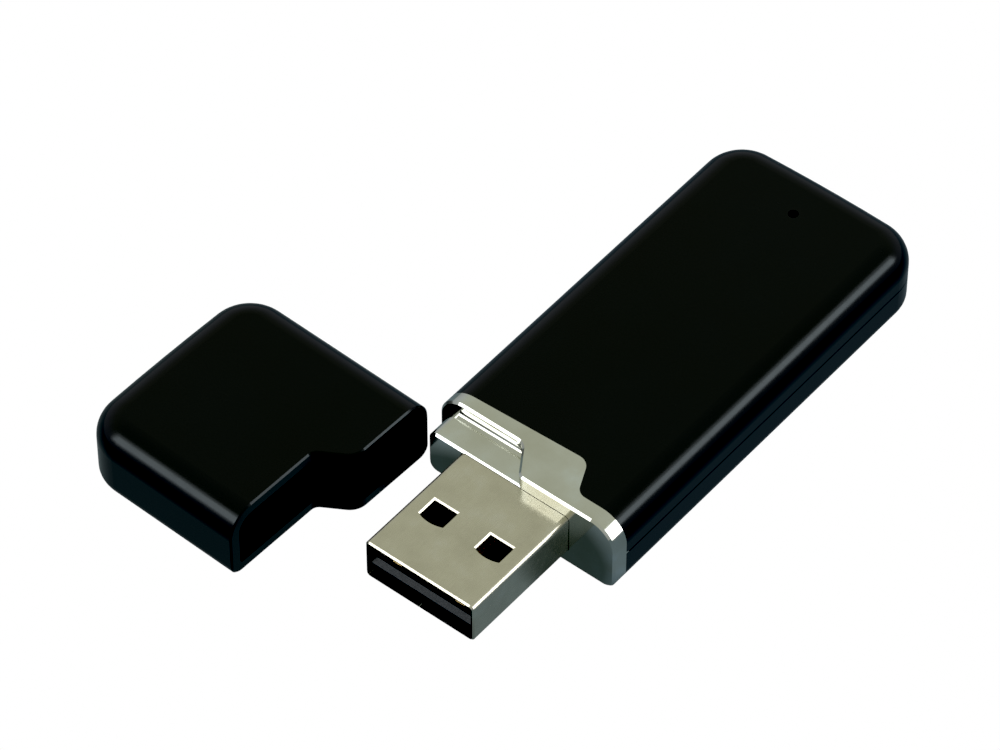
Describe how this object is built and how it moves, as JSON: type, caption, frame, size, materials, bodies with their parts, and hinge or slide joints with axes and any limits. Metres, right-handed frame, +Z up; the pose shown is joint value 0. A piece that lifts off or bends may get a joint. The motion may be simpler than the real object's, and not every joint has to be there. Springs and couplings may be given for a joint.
{
  "type": "usb flash drive",
  "caption": "Slim gloss black USB flash drive with an S-shaped mirror chrome collar, a type A plug and a hollow pull-off cap lying turned beside it.",
  "frame": {"origin": "on the flat underside of the housing, midway between the front face of the trim and the far end", "axes": "+Y runs from the plug to the far end, +X across the housing to the right seen from above with the plug nearest, +Z up"},
  "size_m": [0.0447, 0.0651, 0.0075],
  "materials": {
    "gloss_black": "deep gloss, moulded",
    "chrome_plate": "mirror plated",
    "nickel_steel": "satin nickel plate",
    "black_insulator": "smooth matt",
    "contact_gold": "gold flash",
    "board_green": "solder mask",
    "solder": "bright tin",
    "chip_epoxy": "fine matt",
    "tinned_leads": "tinned",
    "can_metal": "satin",
    "led_resin": "clear milky",
    "ceramic_tan": "ceramic",
    "resistor_black": "glazed"
  },
  "bodies": {
    "drive": {"top_cover": "gloss_black", "bottom_cover": "gloss_black", "chrome_trim": "chrome_plate", "plug_shell": "nickel_steel", "plug_insulator": "black_insulator", "contact_vbus": "contact_gold", "contact_data_minus": "contact_gold", "contact_data_plus": "contact_gold", "contact_ground": "contact_gold", "circuit_board": "board_green", "plug_solder": "solder", "controller_chip": "chip_epoxy", "controller_leads": "tinned_leads", "flash_chip": "chip_epoxy", "flash_leads": "tinned_leads", "crystal": "can_metal", "led": "led_resin", "led_terminals": "tinned_leads", "capacitors": "ceramic_tan", "capacitor_terminals": "tinned_leads", "resistors": "resistor_black", "resistor_terminals": "tinned_leads"},
    "cap": {"cap_shell": "gloss_black"}
  },
  "joints": [
    {"name": "cap_swing", "type": "hinge", "parent": "drive", "child": "cap", "pos_m": [-0.00297, -0.02882, 0.00375], "axis": [0, 0, 1], "range_deg": [0, 91.9]}
  ]
}
